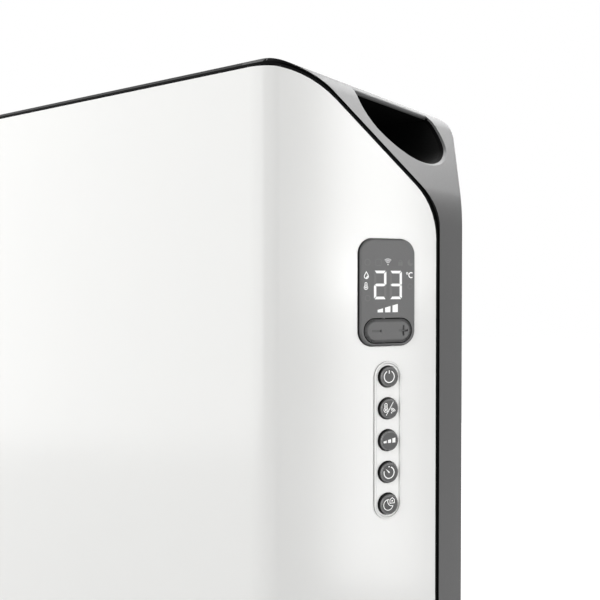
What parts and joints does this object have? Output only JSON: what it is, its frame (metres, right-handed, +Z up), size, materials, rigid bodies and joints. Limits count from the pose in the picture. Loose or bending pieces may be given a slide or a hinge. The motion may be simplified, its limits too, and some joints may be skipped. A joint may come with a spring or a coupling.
{
  "type": "electric panel heater",
  "caption": "Free-standing electric panel heater: white bent steel shells, grey end covers with lifting pockets, a slotted top outlet, and a raised display and push-buttons on one end face.",
  "frame": {"origin": "centre of the footprint, on the floor under the foot pads", "axes": "+X along the width towards the end with the controls, +Y from the front to the rear, +Z up"},
  "size_m": [0.6616, 0.25, 0.5265],
  "materials": {
    "white_powder_coat": "smooth satin powder coat on sheet steel",
    "grey_abs": "fine spark-eroded moulding texture",
    "black_abs": "matt moulded plastic",
    "grille_plastic": "matt moulded heat-resistant plastic",
    "display_lens": "satin smoked polycarbonate",
    "key_plastic": "satin moulded plastic",
    "white_plastic": "smooth moulded plastic",
    "rubber": "moulded rubber",
    "zinc_steel": "zinc-plated sheet steel",
    "screw_steel": "zinc-plated steel",
    "aluminium": "extruded and punched fins",
    "ceramic": "unglazed steatite",
    "circuit_board": "solder mask on glass-fibre laminate",
    "component_plastic": "moulded component housings",
    "nylon": "natural nylon"
  },
  "bodies": {
    "heater_body": {"front_shell": "white_powder_coat", "rear_shell": "white_powder_coat", "front_carrier": "black_abs", "rear_carrier": "black_abs", "end_cover_right": "grey_abs", "end_cover_left": "grey_abs", "end_frame_right": "black_abs", "end_frame_left": "black_abs", "handle_cup_right": "black_abs", "handle_cup_left": "black_abs", "top_grille": "grille_plastic", "base_tray": "zinc_steel", "foot_left": "grey_abs", "foot_right": "grey_abs", "foot_pads": "rubber", "foot_screws": "screw_steel", "display_panel": "display_lens", "rocker_pin": "screw_steel", "button_bezel": "white_plastic", "control_housing": "black_abs", "control_board": "circuit_board", "tact_switches": "component_plastic", "display_module": "component_plastic", "front_heat_shield": "zinc_steel", "rear_heat_shield": "zinc_steel", "element_bracket_right": "zinc_steel", "element_bracket_left": "zinc_steel", "heating_element_front": "aluminium", "heating_element_rear": "aluminium", "element_insulators": "ceramic", "thermal_cutout": "component_plastic", "power_board": "circuit_board", "board_standoffs": "nylon", "relays": "component_plastic", "terminal_block": "nylon", "tilt_switch": "component_plastic", "room_sensor": "component_plastic", "cord_gland": "black_abs", "tray_screws": "screw_steel", "shell_screws": "screw_steel"},
    "power_button": {"power_button": "key_plastic"},
    "mode_button": {"mode_button": "key_plastic"},
    "level_button": {"level_button": "key_plastic"},
    "timer_button": {"timer_button": "key_plastic"},
    "night_button": {"night_button": "key_plastic"},
    "rocker_key": {"rocker_key": "key_plastic"}
  },
  "joints": [
    {"name": "power_press", "type": "slide", "parent": "heater_body", "child": "power_button", "axis": [-0.866, 0.5, 0], "range_m": [0, 0.0008], "stiffness_N_per_m": 1200},
    {"name": "mode_press", "type": "slide", "parent": "heater_body", "child": "mode_button", "axis": [-0.866, 0.5, 0], "range_m": [0, 0.0008], "stiffness_N_per_m": 1200},
    {"name": "level_press", "type": "slide", "parent": "heater_body", "child": "level_button", "axis": [-0.866, 0.5, 0], "range_m": [0, 0.0008], "stiffness_N_per_m": 1200},
    {"name": "timer_press", "type": "slide", "parent": "heater_body", "child": "timer_button", "axis": [-0.866, 0.5, 0], "range_m": [0, 0.0008], "stiffness_N_per_m": 1200},
    {"name": "night_press", "type": "slide", "parent": "heater_body", "child": "night_button", "axis": [-0.866, 0.5, 0], "range_m": [0, 0.0008], "stiffness_N_per_m": 1200},
    {"name": "rocker_tilt", "type": "hinge", "parent": "heater_body", "child": "rocker_key", "pos_m": [0.31352, -0.03721, 0.4044], "axis": [0, 0, 1], "range_deg": [-2.5, 2.5], "stiffness_Nm_per_rad": 0.3}
  ]
}
